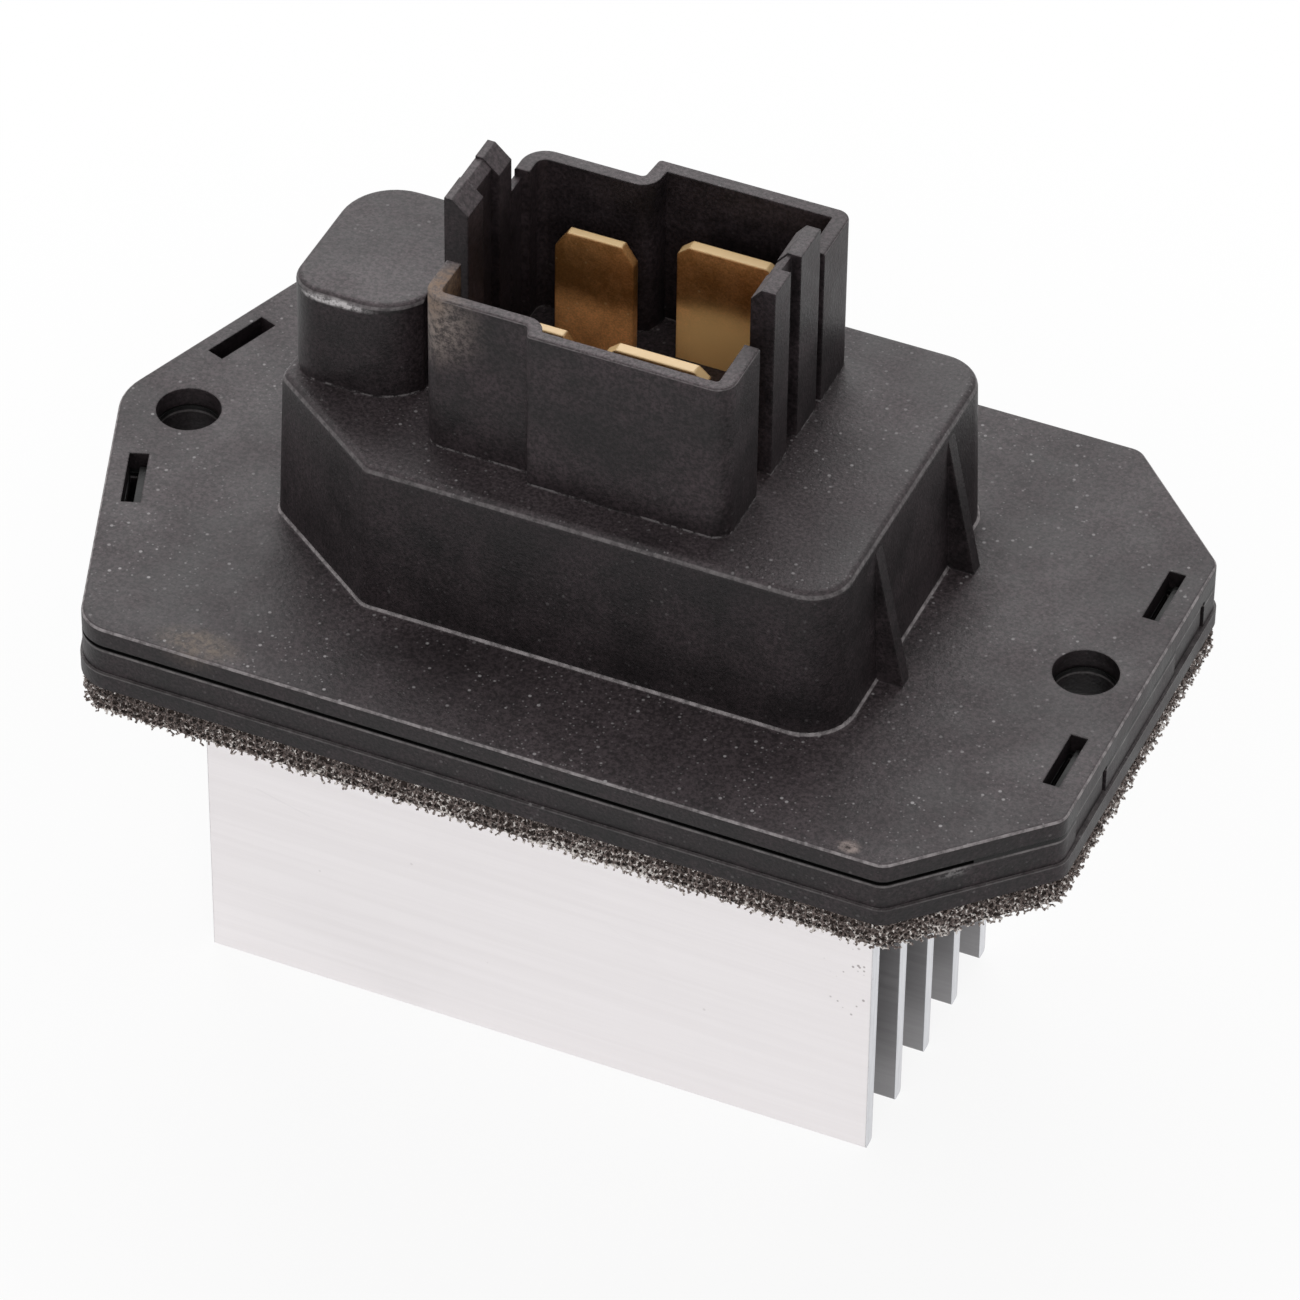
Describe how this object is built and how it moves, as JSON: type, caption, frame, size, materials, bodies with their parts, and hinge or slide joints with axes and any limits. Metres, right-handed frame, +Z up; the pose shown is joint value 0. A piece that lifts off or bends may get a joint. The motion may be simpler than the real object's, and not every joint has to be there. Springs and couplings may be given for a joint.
{
  "type": "blower motor resistor",
  "caption": "Blower motor resistor for a vehicle heater: keyed blade connector and electronics in a flanged black housing, foam gasket and finned aluminium heatsink.",
  "frame": {"origin": "midway between the centres of the two screw holes, on the underside of the lower frame", "axes": "+Z up through the connector, away from the fins; +X along the flange towards its square end"},
  "size_m": [0.0833, 0.0514, 0.0727],
  "materials": {
    "black_plastic": "glass-filled plastic, moulded with a fine spark texture",
    "foam": "soft open-cell foam",
    "extruded_aluminium": "extruded and brushed, sawn at the ends",
    "terminal_brass": "stamped sheet, slightly dulled",
    "board_laminate": "green solder mask over glass laminate",
    "moulding_compound": "moulded semiconductor case",
    "tinned_copper": "tinned, dull bright",
    "insulating_pad": "filled silicone sheet",
    "plated_steel": "zinc plated",
    "capacitor_sleeve": "aluminium can in a shrunk sleeve",
    "capacitor_seal": "moulded rubber bung",
    "resistor_ceramic": "glazed ceramic body",
    "solder": "reflowed solder"
  },
  "bodies": {
    "root": {"upper_housing": "black_plastic", "lower_frame": "black_plastic", "foam_gasket": "foam", "heatsink": "extruded_aluminium", "signal_terminal_back": "terminal_brass", "signal_terminal_front": "terminal_brass", "power_terminal_back": "terminal_brass", "power_terminal_front": "terminal_brass", "circuit_board": "board_laminate", "transistor_body": "moulding_compound", "transistor_leadframe": "tinned_copper", "transistor_pad": "insulating_pad", "transistor_screw": "plated_steel", "transistor_washer": "plated_steel", "capacitor_can": "capacitor_sleeve", "capacitor_seal": "capacitor_seal", "capacitor_leads": "tinned_copper", "control_chip": "moulding_compound", "control_chip_leads": "tinned_copper", "chip_resistors": "resistor_ceramic", "sense_resistor": "resistor_ceramic", "protection_diode": "moulding_compound", "solder_joints": "solder"}
  },
  "joints": []
}
